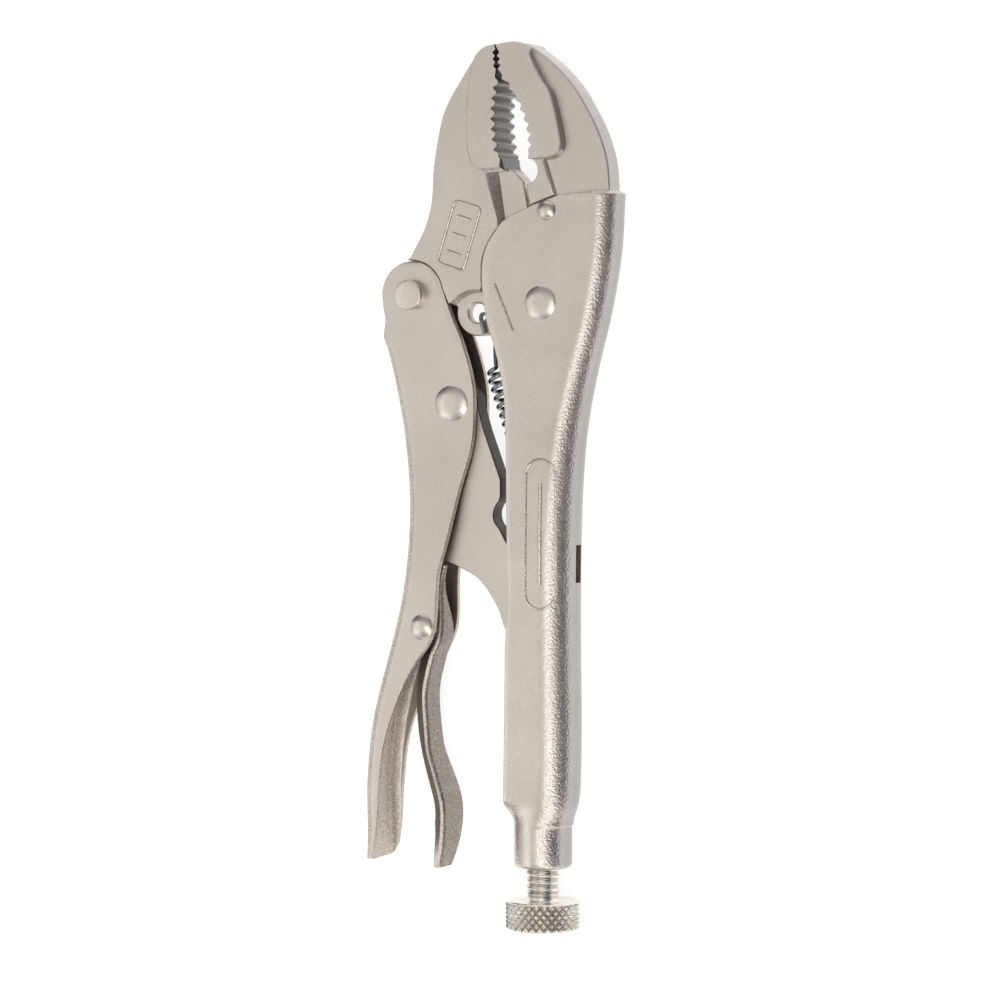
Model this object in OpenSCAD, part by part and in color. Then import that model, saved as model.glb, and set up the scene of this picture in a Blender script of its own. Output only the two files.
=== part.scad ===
/* [Assembly] */
// Sideways move that centres the tool on its origin
shift_x = 0.7; // [-2:0.1:2]
// Lengthways move that centres the tool on its origin
shift_y = -0.4; // [-2:0.1:2]
// Height of the tool's mid-plane above the surface it lies on
lift = 7.5; // [7.5:0.1:9]

/* [Jaws] */
// Half thickness of the fixed jaw's plate, which fills the handle
fixed_half = 2.7; // [2.5:0.1:2.8]
// Half thickness of the movable jaw where the handle and the lever straddle it
web_half = 2.4; // [2.2:0.1:2.6]
// Half thickness of the raised body of the movable jaw
body_half = 4.2; // [3.6:0.1:4.4]
// Half thickness of the toothed pads
pad_half = 4.7; // [4.4:0.1:5]
// Length of one tooth along the jaw
tooth_pitch = 2.05; // [1.9:0.05:2.2]
// Depth of one tooth
tooth_depth = 1.0; // [0.6:0.1:1.1]
// Radius of the movable jaw's hub round the main pivot
hub_r = 8.4; // [7:0.1:8.6]
// Radius of the spring eye in the movable jaw
eye_r = 1.9; // [1.5:0.1:2.1]

/* [Fixed handle] */
// Thickness of the handle's sheet steel
handle_sheet = 1.8; // [1.6:0.1:1.8]
// Half thickness of the handle over the jaws
handle_top_half = 4.6; // [4.6:0.1:4.8]
// Half thickness of the handle at the grip
handle_grip_half = 5.9; // [5.7:0.1:6.2]
// Radius of the threaded end of the handle
nut_r = 5.8; // [5.4:0.1:6]

/* [Movable handle] */
// Thickness of the lever's sheet steel
lever_sheet = 1.4; // [1.2:0.1:1.4]
// Half thickness of the lever over the jaw and the link
lever_top_half = 3.9; // [3.9:0.1:4.1]
// Half thickness of the lever at the grip
lever_grip_half = 6.1; // [6:0.1:6.4]
// Radius of the lever's ears round the jaw rivet
ear_r = 6.8; // [6:0.1:7]

/* [Toggle link] */
// Half thickness of the link
link_half = 2.2; // [2:0.1:2.4]
// Radius of the link's boss round its rivet
link_boss_r = 5; // [4.5:0.1:5.4]
// Radius of the link's toe, which bears on the screw
link_toe_r = 2.6; // [2.2:0.1:3]

/* [Release lever] */
// Half width of the release lever
release_half = 4.4; // [4:0.1:4.5]
// Thickness of the release lever's sheet steel
release_sheet = 1.3; // [1:0.1:1.5]

/* [Rivets] */
// Radius of the shank of the main pivot rivet
jaw_pin_r = 2.5; // [2:0.1:3]
// Radius of the shank of the rivet between jaw and lever
lever_pin_r = 2.3; // [2:0.1:2.6]
// Radius of the shank of the link rivet
link_pin_r = 2.4; // [2:0.1:2.8]
// Radius of the shank of the release lever's rivet
release_pin_r = 1.5; // [1.2:0.1:1.8]
// Radial running clearance of every pivot
fit = 0.05; // [0.02:0.01:0.1]

/* [Adjusting screw] */
// Outer radius of the screw thread
thread_r = 3.5; // [3.2:0.1:3.5]
// Depth of the screw thread
thread_depth = 0.6; // [0.4:0.1:0.7]
// Pitch of the screw thread
thread_pitch = 1.27; // [1:0.01:1.5]
// Radius of the knurled knob
knob_r = 7.5; // [7:0.1:7.5]
// Length of the knurled knob
knob_h = 5.8; // [4.5:0.1:6]
// Width across the flats of the hexagon key socket
hex_flats = 5; // [4:0.5:5]

/* [Spring] */
// Outer radius of the spring's coil
coil_r = 2.4; // [2:0.1:2.5]
// Radius of the spring's wire
wire_r = 0.45; // [0.3:0.05:0.5]

/* [Hidden] */
$fn = 48;
eps = 0.02;            // play between pieces that are fixed to each other
far = 40;              // reaches past every outline

jaw_pivot = [10.6, 37.2];
lever_pivot = [-18, 39];
link_pivot = [-9.2, 17.2];
toe = [9.2, -28.4];    // middle of the link's toe, where it bears on the screw
release_pivot = [-14.9, -27.6];
stake = [11.9, 55.4];
eye = [-4.1, 35.3];
axis_x = 9.2;          // the adjusting screw's axis, and the middle of the threaded end

nut_end_y = -75.2;     // free end of the threaded end
neck_y = -67;          // where the neck becomes round
grip_end_y = -61.5;    // where the channel closes
thread_top_y = -33.4;  // tip of the screw
knob_top_y = -81.8;    // shoulder of the knob
tip_y = 88.4;          // end of the jaws

// A smooth curve through every point of p, with n steps between neighbours
function spline(p, n = 4) = [
    for (i = [0 : len(p) - 2], k = [0 : n - 1])
        let (a = p[max(i - 1, 0)], b = p[i], c = p[i + 1], d = p[min(i + 2, len(p) - 1)], t = k / n)
        0.5 * (2 * b + (c - a) * t + (2 * a - 5 * b + 4 * c - d) * t * t
            + (3 * b - a - 3 * c + d) * t * t * t),
    p[len(p) - 1]
];
function arc(c, r, from, to, n = 12) = [for (i = [0 : n])
    let (a = from + (to - from) * i / n) c + r * [cos(a), sin(a)]];
function turned(list) = [for (i = [len(list) - 1 : -1 : 0]) list[i]];
function moved(list, d) = [for (p = list) p + d];

module place() translate([shift_x, shift_y, lift]) children();
module slab(half) translate([0, 0, -half]) linear_extrude(2 * half) children();
module drill(at, r) translate([at.x, at.y, -far]) cylinder(r = r, h = 2 * far);
// A shape given by its side view, as points of length and height, and reaching across the tool
module across() rotate([90, 0, 90]) translate([0, 0, -far]) linear_extrude(2 * far) children();
// The side view of a channel that is a thick at one end and b at the other
module flare(a, b, from, to) polygon(concat(
    [[90, a], [from, a], [to, b], [-90, b]],
    [[-90, -b], [to, -b], [from, -a], [90, -a]]));

// Teeth: crests on a shallow curve, with their flanks falling to the roots
tooth_start = 66.5;
tooth_count = 8;
function movable_crest(y) = 0.8 + 0.016 * pow(y - 74, 2);
function fixed_crest(y) = 7.9 - 0.031 * pow(y - 68, 2);
movable_teeth = [for (i = [0 : tooth_count - 1]) let (y = tooth_start + i * tooth_pitch)
    each [[movable_crest(y), y],
          [movable_crest(y + tooth_pitch / 2) - tooth_depth, y + tooth_pitch / 2]]];
fixed_teeth = [for (i = [0 : tooth_count - 1]) let (y = tooth_start + 0.8 + i * tooth_pitch)
    each [[fixed_crest(y), y],
          [fixed_crest(y + tooth_pitch / 2) + tooth_depth * 0.8, y + tooth_pitch / 2]]];
// Fine teeth near the tip, where the jaws all but meet
fine_pitch = 1.3;
function fine_teeth(x, depth) = [for (i = [0 : 2]) let (y = 83.5 + i * fine_pitch)
    each [[x - 0.1 * i, y], [x - 0.1 * i + depth, y + fine_pitch / 2]]];

movable_back = spline([[-1.2, 88.1], [-2.8, 87.2], [-4.3, 85.4], [-7.2, 81.2], [-9.5, 77.6],
                       [-11.3, 73.4], [-12.9, 65], [-13.3, 59], [-13.8, 55.9], [-15.2, 51.8],
                       [-18.2, 46.6]]);
movable_front = concat([[7.9, 50], [6.8, 56.4], [5.9, 61.3], [3.6, 63.6], [1.9, 64],
                        [1.9, 65.8]], movable_teeth, fine_teeth(1, -0.6),
                       [[0.9, 87.4], [0.6, tip_y]]);

module movable_outline() {
    polygon(concat(movable_front, movable_back, [[-18, 44.6], [-21, 36], [-8, 32], [4, 32]]));
    translate(lever_pivot) circle(5.6);
    translate(eye) circle(4.3);
    translate(jaw_pivot) circle(hub_r);
}

// The raised body stops short of the lever's ears, the spring eye and the handle's wall
module raised_outline() difference() {
    intersection() {
        movable_outline();
        polygon([[-30, 90], [-2, 90], [-2, 62.5], [-0.5, 58], [1.2, 53.5], [-1.2, 50.2],
                 [-2.6, 46], [-2.9, 40], [-7.3, 39.1], [-10.4, 39.6], [-14, 41], [-30, 45]]);
    }
    translate(lever_pivot) circle(ear_r + 0.4);
    translate(eye) circle(5);
}

movable_pad_edge = spline([[-4.1, 85.4], [-5.1, 79.5], [-5.6, 73.6], [-5.3, 68.6],
                           [-4.7, 66], [-3.6, 64.4], [-1.8, 63.8], [1.9, 64]]);
module movable_pad() polygon(concat([for (p = movable_back) if (p.y > 85.6) p], movable_pad_edge,
                                    [for (p = movable_front) if (p.y > 65) p]));

module movable_jaw() color([0.78, 0.75, 0.71]) place() difference() {
    union() {
        slab(web_half) movable_outline();
        slab(body_half) raised_outline();
        slab(pad_half) movable_pad();
    }
    drill(jaw_pivot, jaw_pin_r + fit);
    drill(lever_pivot, lever_pin_r + fit);
    drill(eye, eye_r);
}

fixed_back = spline([[4.6, 88.8], [6.8, 88.5], [9.2, 87.4], [12.3, 85.2], [15, 82.6], [17.8, 79.2],
                     [20.2, 75.2], [22, 71.8], [23.5, 68], [24.4, 64.4], [24.7, 60]]);
fixed_front = concat([[8.6, 50], [7.7, 56], [7.1, 60.6]], arc([6.7, 63.3], 2.7, -68, 62, 8),
                     fixed_teeth, fine_teeth(1.3, 0.6), [[1.1, 87.6], [0.8, tip_y]]);

module fixed_outline() difference() {
    polygon(concat(fixed_front, fixed_back, [[24.6, 56], [24.1, 50], [22.8, 42], [10.6, 44]]));
    translate(jaw_pivot) circle(hub_r + 0.4);
}
fixed_pad_edge = spline([[7.5, 87.6], [8.3, 85.2], [10.8, 81], [12.3, 78.8], [13.3, 76.2],
                         [14.6, 70.8], [14.9, 68.2], [14.2, 66.6], [12.4, 65.8], [9, 65.6]]);
module fixed_pad() polygon(concat([for (p = turned(fixed_back)) if (p.x < 7.5) p],
                                  turned([for (p = fixed_front) if (p.y > 65.6) p]),
                                  turned(fixed_pad_edge)));

module fixed_jaw() color([0.78, 0.75, 0.71]) place() difference() {
    union() {
        slab(fixed_half) fixed_outline();
        slab(pad_half) fixed_pad();
    }
    drill(stake, 1.5 + eps);
}

// The fixed handle: a channel that is open towards the lever
handle_back = spline([[26.6, 59], [26.4, 56], [26, 48.5], [25, 41.6], [23.4, 33.8], [21.2, 25.5],
                      [19.5, 18], [18.2, 10], [17.4, 0], [17, -12], [16.9, -30], [17.1, -46],
                      [16.9, -58], [16.6, grip_end_y]]);
handle_edge = spline([[14.2, 58.3], [8.4, 56.3], [3, 54], [0.8, 51.7], [-1.3, 48.6], [-2.3, 44.8],
                      [-2.2, 39.5], [-1.2, 33.5], [0.6, 27.9], [2.5, 19.8], [3.2, 10], [3.7, -10],
                      [4, -22], [3.4, -30], [3.1, -50], [2.9, grip_end_y]]);
module handle_outline() polygon(concat([[21, 59.1]], handle_back, turned(handle_edge)));
module handle_hollow() polygon(concat([[-far, 90], [24.7, 90]],
                                      moved(handle_back, [-handle_sheet, 0]),
                                      [[-far, grip_end_y]]));
spring_slot = [[12, -18.2, -1.2], [20, 7.5, 2.4]];

module fixed_handle() color([0.78, 0.75, 0.71]) place() difference() {
    union() {
        difference() {
            intersection() {
                slab(far) handle_outline();
                across() flare(handle_top_half, handle_grip_half, 32, -12);
            }
            intersection() {
                slab(far) handle_hollow();
                across() flare(handle_top_half - handle_sheet, handle_grip_half - handle_sheet, 32, -12);
            }
        }
        slab(nut_r) polygon([[2.9, grip_end_y], [16.6, grip_end_y], [14.4, neck_y], [4, neck_y]]);
        translate([axis_x, nut_end_y, 0]) rotate([-90, 0, 0]) cylinder(r = nut_r, h = neck_y - nut_end_y + 1);
    }
    translate([axis_x, nut_end_y - 1, 0]) rotate([-90, 0, 0])
        cylinder(r = thread_r + fit, h = grip_end_y - nut_end_y + 2);
    translate(spring_slot[0]) cube(spring_slot[1]);
    drill(jaw_pivot, jaw_pin_r + eps);
    drill(stake, 1.5 + eps);
}

// The movable handle: a channel that is open towards the fixed handle, with ears at its top
lever_back = spline([[-24.3, 32], [-24.6, 29.6], [-22.6, 21.5], [-20.7, 12], [-19.4, 1.8],
                     [-19, -6], [-19.3, -14.2], [-20.3, -22.3], [-22.2, -30.4], [-25, -40],
                     [-27, -48.7], [-28, -58.9], [-28, -66], [-27.6, -74.6]]);
lever_edge = spline([[-12.4, 42.6], [-11, 39.6], [-9.3, 34.9], [-7.1, 29.9], [-5, 23.2], [-4.3, 17.6],
                     [-4.8, 9], [-7.4, 0], [-9.8, -10], [-11.6, -17], [-12, -26], [-13.2, -30.6],
                     [-16.5, -35.2], [-19.8, -41.4], [-23.2, -50.6], [-24.5, -60], [-25, -68],
                     [-25.9, -74.8]]);
module lever_outline() {
    polygon(concat([[-23.6, 35]], lever_back, turned(lever_edge)));
    translate(lever_pivot) circle(ear_r);
}
module lever_hollow() {
    polygon(concat([[-far, 60], [-far, 32]], moved(lever_back, [lever_sheet, 0]),
                   [[-27, -90], [far, -90], [far, 60]]));
}
module movable_handle() color([0.78, 0.75, 0.71]) place() difference() {
    intersection() {
        slab(far) lever_outline();
        across() flare(lever_top_half, lever_grip_half, 10, -28);
    }
    intersection() {
        slab(far) lever_hollow();
        across() flare(lever_top_half - lever_sheet, lever_grip_half - lever_sheet, 10, -28);
    }
    drill(lever_pivot, lever_pin_r + eps);
    drill(link_pivot, link_pin_r + eps);
    drill(release_pivot, release_pin_r + eps);
}

// The toggle link, from its rivet in the lever to its toe on the screw
link_upper = concat([[-4.8, 15.8], [-2.9, 12], [0.1, 4], [0.8, 2], [0.8, -1.2]],
                    arc([2.6, -4.9], 3.4, 130, 232, 8), spline([[1.9, -10.1], [5.2, -14.2], [9.6, -21], [11.5, -27.9]]));
link_lower = spline([[7.3, -29.6], [2.2, -28.2], [0.1, -23.3], [-3.6, -18.2], [-7.6, -15.9], [-11.8, -14.3]]);
module toggle_link() color([0.78, 0.75, 0.71]) place() difference() {
    union() {
        slab(link_half) polygon(concat(link_upper, link_lower, [[-12.6, -4], [-13.2, 15.4]]));
        slab(link_half) translate(link_pivot) circle(link_boss_r);
        slab(link_half) translate(toe) circle(link_toe_r);
    }
    drill(link_pivot, link_pin_r + fit);
}

// The release lever: a channel with its back towards the fixed handle and a long tail
release_back = spline([[-10.4, -15.4], [-11.5, -20.5], [-11.7, -27.7], [-12.1, -30.8], [-13.8, -34],
                       [-15.4, -39], [-15.6, -44], [-14.6, -51.2], [-12.6, -56.6], [-10.7, -62.3],
                       [-10.3, -66.3], [-10.6, -71.5], [-11.4, -76]]);
release_edge = spline([[-13.2, -17], [-15.2, -21], [-17.2, -25.6], [-17.4, -29.4], [-17.2, -34],
                       [-18, -42], [-17.2, -49], [-15.7, -55.5], [-13.7, -63], [-13, -68],
                       [-12.8, -72], [-12.8, -75.9]]);
// Its width narrows to a tongue at the top, and its tail ends in rounded corners
release_side = [[-15, 1.5], [-17, 2.3], [-21, 3.3], [-26.5, release_half], [-73, release_half], [-75.4, 3.4],
                [-76.2, 1.6], [-76.2, -1.6], [-75.4, -3.4], [-73, -release_half],
                [-26.5, -release_half], [-21, -3.3], [-17, -2.3], [-15, -1.5]];
module release_lever() color([0.74, 0.72, 0.68]) place() difference() {
    intersection() {
        union() {
            slab(far) polygon(concat(release_back, turned(release_edge)));
            slab(far) translate(release_pivot - [0.4, 0]) circle(3);
        }
        across() polygon(release_side);
    }
    slab(release_half - release_sheet) polygon(concat(
        moved(release_back, [-release_sheet, 0]), [[-16, -79], [-far, -79], [-far, -14], [-13, -14]]));
    drill(release_pivot, release_pin_r + fit);
}

// A rivet along Z: a shank, and the same head at both ends, given by its side view
module rivet(at, half, pin_r, head) color([0.8, 0.77, 0.73]) place() translate(at) {
    translate([0, 0, -half]) cylinder(r = pin_r, h = 2 * half);
    for (side = [0, 1]) mirror([0, 0, side]) translate([0, 0, half]) rotate_extrude() polygon(head);
}
// The side view of a domed head, from its middle to its rim
function dome(r, h) = concat([[0, 0], [r, 0], [r, 0.25 * h]],
    [for (i = [1 : 6]) let (t = i / 6) [r * cos(90 * t), h * (0.25 + 0.75 * sin(90 * t))]]);
function button(r, h) = [[0, 0], [r, 0], [r, h - 0.5], [r - 0.4, h], [0, h]];

module jaw_pivot_rivet() rivet(jaw_pivot, handle_top_half + 0.01, jaw_pin_r, dome(3.35, 1.1));
module jaw_lever_rivet() rivet(lever_pivot, lever_top_half + 0.01, lever_pin_r, button(3, 2));
module link_rivet() rivet(link_pivot, lever_top_half + 0.01, link_pin_r, dome(3.6, 1.2));
module release_rivet() rivet(release_pivot, lever_grip_half + 0.01, release_pin_r, dome(2.5, 1));
module jaw_stake_pin() rivet(stake, handle_top_half + 0.01, 1.5, dome(2, 0.9));

// The adjusting screw: knurled knob, key socket and thread, drawn upwards from the knob's end
shank_h = thread_top_y - knob_top_y;
thread_turns = floor((shank_h - 3) / thread_pitch);
thread_side = concat([[0, -1], [thread_r - thread_depth / 2, -1], [thread_r - thread_depth / 2, 2]],
    [for (i = [0 : thread_turns - 1]) let (y = 2 + i * thread_pitch)
        each [[thread_r - thread_depth, y + 0.2 * thread_pitch], [thread_r, y + 0.6 * thread_pitch],
              [thread_r, y + 0.8 * thread_pitch]]],
    [[thread_r - thread_depth, shank_h - 0.6], [thread_r - 1, shank_h], [0, shank_h]]);
knob_side = [[0, 0], [knob_r - 0.7, 0], [knob_r, 0.7], [knob_r, knob_h - 0.7], [knob_r - 0.7, knob_h], [0, knob_h]];

module adjusting_screw() color([0.76, 0.73, 0.68]) place()
    translate([axis_x, knob_top_y, 0]) rotate([-90, 0, 0]) difference() {
        union() {
            rotate_extrude() polygon(thread_side);
            translate([0, 0, -knob_h]) rotate_extrude() polygon(knob_side);
        }
        translate([0, 0, -knob_h - 1]) cylinder(d = hex_flats / cos(30), h = 5.5, $fn = 6);
    }

// The spring: a coil between its two end wires, each a chain of straight rods
coil_top = [-1.2, 24.4, 0];
coil_end = [9.6, -6.4, 0];
top_wire = [[-1.9, 29, 2.95], [-2.9, 34.5, 2.95], [-2.9, 34.5, -2.95], [-2.3, 29.8, -2.95],
            coil_top + 0.02 * (coil_end - coil_top)];
end_wire = [coil_end - 0.02 * (coil_end - coil_top), [12.6, -11.4, 0], [15.6, -13.2, 0]];
module rod(a, b, r, past = 0, sides = 48) translate(a) {
    d = b - a;
    rotate([0, acos(d.z / norm(d)), atan2(d.y, d.x)]) translate([0, 0, -past])
        cylinder(r = r, h = norm(d) + 2 * past, $fn = sides);
}
module spring() color([0.55, 0.55, 0.56]) place() {
    difference() {
        rod(coil_top, coil_end, coil_r);
        rod(coil_top + 0.03 * (coil_end - coil_top), coil_end - 0.03 * (coil_end - coil_top),
            coil_r - 2 * wire_r);
    }
    for (wire = [top_wire, end_wire], i = [0 : len(wire) - 2]) rod(wire[i], wire[i + 1], wire_r, 0.3, 10);
}

fixed_jaw();
movable_jaw();
fixed_handle();
movable_handle();
toggle_link();
release_lever();
adjusting_screw();
spring();
jaw_pivot_rivet();
jaw_lever_rivet();
link_rivet();
release_rivet();
jaw_stake_pin();
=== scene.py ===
import math

import bmesh
import bpy
import numpy as np
from mathutils import Matrix, Vector


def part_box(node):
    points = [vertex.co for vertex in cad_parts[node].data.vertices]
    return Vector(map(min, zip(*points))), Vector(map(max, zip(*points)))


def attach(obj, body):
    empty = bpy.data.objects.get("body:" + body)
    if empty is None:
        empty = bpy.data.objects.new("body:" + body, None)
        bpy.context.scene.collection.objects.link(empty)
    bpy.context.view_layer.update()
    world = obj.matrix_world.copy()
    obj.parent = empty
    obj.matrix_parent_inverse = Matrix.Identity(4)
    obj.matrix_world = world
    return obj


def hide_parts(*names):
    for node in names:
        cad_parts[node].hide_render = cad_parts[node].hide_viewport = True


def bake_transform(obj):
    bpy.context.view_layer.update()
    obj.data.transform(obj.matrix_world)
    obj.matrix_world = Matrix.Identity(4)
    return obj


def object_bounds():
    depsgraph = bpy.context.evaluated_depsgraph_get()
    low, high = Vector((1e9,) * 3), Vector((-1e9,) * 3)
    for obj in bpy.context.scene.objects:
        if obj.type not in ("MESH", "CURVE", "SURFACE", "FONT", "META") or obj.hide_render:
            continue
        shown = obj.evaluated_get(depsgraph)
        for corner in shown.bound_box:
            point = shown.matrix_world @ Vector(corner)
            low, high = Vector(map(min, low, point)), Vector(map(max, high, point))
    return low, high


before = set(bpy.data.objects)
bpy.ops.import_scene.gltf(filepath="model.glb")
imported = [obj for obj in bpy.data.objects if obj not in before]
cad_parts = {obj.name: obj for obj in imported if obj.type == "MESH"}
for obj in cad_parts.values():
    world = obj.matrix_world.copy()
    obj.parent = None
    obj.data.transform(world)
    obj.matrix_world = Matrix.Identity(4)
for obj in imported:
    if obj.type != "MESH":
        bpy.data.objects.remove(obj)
cad_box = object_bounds()
MM = 0.001
JAW_PIVOT = (10.6, 37.2)
AXIS_X = 9.2
pivot_low, pivot_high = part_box("jaw_pivot_rivet")
# Shapes are in millimetres from this point: Y is along the tool, towards the jaws, and Z = 0 is its
# mid-plane. AXIS_X is the adjusting screw's axis
ORIGIN = (Vector(pivot_low) + Vector(pivot_high)) / 2 - Vector((*JAW_PIVOT, 0)) * MM


def at(x, y, z=0.0):
    return ORIGIN + Vector((x, y, z)) * MM


# ---------------------------------------------------------------- camera and light
AZIMUTH, ELEVATION, DISTANCE = math.radians(25), math.radians(2.05), 0.74
SENSOR, VIEW_WIDTH = 36, 0.2
look_at = at(-0.3, -2.05, 0)
towards = Vector((math.cos(ELEVATION) * math.sin(AZIMUTH), math.sin(ELEVATION),
                  math.cos(ELEVATION) * math.cos(AZIMUTH)))
up = Vector((-math.sin(ELEVATION) * math.sin(AZIMUTH), math.cos(ELEVATION),
             -math.sin(ELEVATION) * math.cos(AZIMUTH)))
right = up.cross(towards)
camera = bpy.data.objects.new("camera", bpy.data.cameras.new("camera"))
camera.matrix_world = Matrix((right, up, towards)).transposed().to_4x4()
camera.location = look_at + towards * DISTANCE
camera.data.sensor_width = SENSOR
camera.data.lens = SENSOR * DISTANCE / VIEW_WIDTH
camera.data.clip_start = 0.01
bpy.context.scene.collection.objects.link(camera)
bpy.context.scene.camera = camera
bpy.context.scene.view_settings.view_transform = "Standard"
bpy.context.scene.view_settings.look = "None"


def softbox(name, direction, distance, size, power, colour=(1, 1, 1)):
    data = bpy.data.lights.new(name, "AREA")
    data.shape = "RECTANGLE"
    data.size, data.size_y = size
    data.energy = power
    data.color = colour
    lamp = bpy.data.objects.new(name, data)
    way = Vector(direction).normalized()
    lamp.location = look_at + way * distance
    lamp.rotation_euler = way.to_track_quat("Z", "Y").to_euler()
    bpy.context.scene.collection.objects.link(lamp)


softbox("key", (-0.5, -0.02, 0.9), 0.7, (0.5, 0.9), 0.33, (1, 0.985, 0.96))
softbox("strip", (0.48, -0.5, 0.92), 0.8, (0.42, 1.2), 2.3, (0.985, 0.99, 1))
softbox("left_card", (-0.95, -0.2, 0.3), 0.9, (0.8, 1.9), 2.4)
softbox("top_card", (0.1, 1, 0.4), 0.9, (1.2, 0.5), 1.5, (0.96, 0.98, 1))
softbox("bottom_card", (0.1, -1, 0.45), 0.9, (1.0, 0.4), 1.0)
softbox("low_card", (-0.7, -0.6, 0.55), 0.9, (0.6, 0.7), 0.8)

world = bpy.data.worlds.new("studio")
bpy.context.scene.world = world
world.use_nodes = True
wn, wl = world.node_tree.nodes, world.node_tree.links
wn.clear()
w_out = wn.new("ShaderNodeOutputWorld")
w_back = wn.new("ShaderNodeBackground")
w_coord = wn.new("ShaderNodeTexCoord")
w_split = wn.new("ShaderNodeSeparateXYZ")
w_ramp = wn.new("ShaderNodeValToRGB")
wl.new(w_coord.outputs["Generated"], w_split.inputs[0])
wl.new(w_split.outputs["Z"], w_ramp.inputs[0])
wl.new(w_ramp.outputs[0], w_back.inputs["Color"])
wl.new(w_back.outputs[0], w_out.inputs[0])
w_ramp.color_ramp.interpolation = "EASE"
stops = [(0.0, (0.75, 0.76, 0.78)), (0.12, (0.12, 0.12, 0.125)), (0.55, (0.19, 0.19, 0.195)),
         (0.86, (0.46, 0.46, 0.46)), (1.0, (0.58, 0.575, 0.57))]
for i, (place, colour) in enumerate(stops):
    stop = w_ramp.color_ramp.elements[i] if i < 2 else w_ramp.color_ramp.elements.new(place)
    stop.position = place
    stop.color = (*colour, 1)
w_back.inputs["Strength"].default_value = 1.0


# ---------------------------------------------------------------- curves and meshes
def spline(points, steps=4):
    """A smooth curve through points in the plane or in space"""
    out = []
    for i in range(len(points) - 1):
        a, b, c, d = (np.array(points[min(max(k, 0), len(points) - 1)], float)
                      for k in (i - 1, i, i + 1, i + 2))
        for k in range(steps):
            t = k / steps
            out.append(tuple(0.5 * (2 * b + (c - a) * t + (2 * a - 5 * b + 4 * c - d) * t * t
                                    + (3 * b - a - 3 * c + d) * t ** 3)))
    return out + [tuple(points[-1])]


def arc(centre, r, start, end, steps=12):
    return [(centre[0] + r * math.cos(math.radians(start + (end - start) * i / steps)),
             centre[1] + r * math.sin(math.radians(start + (end - start) * i / steps)))
            for i in range(steps + 1)]


def x_at(curve, y):
    """Where a curve along the tool crosses y"""
    pts = sorted((p[1], p[0]) for p in curve)
    return float(np.interp(y, [p[0] for p in pts], [p[1] for p in pts]))


def ease(a, b, t):
    """Rises smoothly from 0 at a to 1 at b"""
    t = min(max((t - a) / (b - a), 0), 1)
    return t * t * (3 - 2 * t)


def mix(a, b, t):
    return a + (b - a) * t


def between(a, b, t):
    """The point at share t of the way from a to b"""
    return tuple(mix(p, q, t) for p, q in zip(a, b))


def spaced(a, b, n):
    """n + 1 numbers, evenly spread from a to b"""
    return [mix(a, b, i / n) for i in range(n + 1)]


def make(name, bm):
    bmesh.ops.recalc_face_normals(bm, faces=bm.faces)
    mesh = bpy.data.meshes.new(name)
    bm.to_mesh(mesh)
    bm.free()
    obj = bpy.data.objects.new(name, mesh)
    bpy.context.scene.collection.objects.link(obj)
    return obj


def loft(name, loops, capped=True):
    """A skin over closed loops with the same number of points. It closes on itself where it isn't capped"""
    bm = bmesh.new()
    rings = [[bm.verts.new(at(*p)) for p in loop] for loop in loops]
    n = len(loops[0])
    if not capped:
        rings.append(rings[0])
    for a, b in zip(rings, rings[1:]):
        for i in range(n):
            bm.faces.new((a[i], a[(i + 1) % n], b[(i + 1) % n], b[i]))
    if capped:
        bm.faces.new(rings[0][::-1])
        bm.faces.new(rings[-1])
    bmesh.ops.remove_doubles(bm, verts=bm.verts, dist=0.002 * MM)
    return make(name, bm)


def side_prism(name, outline, x0=-60.0, x1=60.0):
    """outline is in Y and Z, and reaches across the tool"""
    return loft(name, [[(x, y, z) for y, z in outline] for x in (x0, x1)])


def bake(obj):
    """Applies the object's modifiers to its mesh"""
    bpy.context.view_layer.update()
    mesh = bpy.data.meshes.new_from_object(obj.evaluated_get(bpy.context.evaluated_depsgraph_get()))
    old = obj.data
    obj.modifiers.clear()
    obj.data = mesh
    mesh.name = obj.name
    bpy.data.meshes.remove(old)


def cut(obj, tool, operation="DIFFERENCE"):
    """Applies a boolean to obj and takes the tool away"""
    mod = obj.modifiers.new("cut", "BOOLEAN")
    mod.operation, mod.object, mod.solver = operation, tool, "EXACT"
    bake(obj)
    bpy.data.objects.remove(tool)


def smooth(obj, angle=38):
    obj.data.shade_smooth()
    obj.data.set_sharp_from_angle(angle=math.radians(angle))
    mod = obj.modifiers.new("normals", "WEIGHTED_NORMAL")
    mod.keep_sharp = True
    bake(obj)


def grow(outline, amounts):
    """Moves each point of a closed outline outwards by its own amount"""
    pts = np.array(outline, float)
    area = np.sum(pts[:, 0] * np.roll(pts[:, 1], -1) - np.roll(pts[:, 0], -1) * pts[:, 1])
    sign = 1 if area > 0 else -1
    ahead = np.roll(pts, -1, 0) - pts
    ahead /= np.maximum(np.linalg.norm(ahead, axis=1, keepdims=True), 1e-9)
    out = np.stack([ahead[:, 1], -ahead[:, 0]], 1) * sign
    before = np.roll(out, 1, 0)
    both = out + before
    both /= np.maximum(1 + np.sum(out * before, 1, keepdims=True), 0.45)
    return pts + both * np.array(amounts, float).reshape(-1, 1)


def plate(name, outline, profile, soft=None, tight=None):
    """A plate whose sides follow profile: inset, flare and height, from its far face to its near one.
    soft holds each point's share of the flare, and tight its share of the inset"""
    soft = [1] * len(outline) if soft is None else soft
    tight = [1] * len(outline) if tight is None else tight
    loops = []
    for inset, flare, z in profile:
        ring = grow(outline, [flare * s - inset * t for s, t in zip(soft, tight)])
        loops.append([(x, y, z) for x, y in ring])
    return loft(name, loops)


def add_plate(obj, outline, near, soft, tight=None, margin=0.05):
    """Joins a plate to obj from the near half of its profile, drawn a margin past its outline"""
    both = [(inset, flare, -z) for inset, flare, z in near[::-1]] + near
    cut(obj, plate("t", grow(outline, [margin] * len(outline)), both, soft, tight), "UNION")


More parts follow.
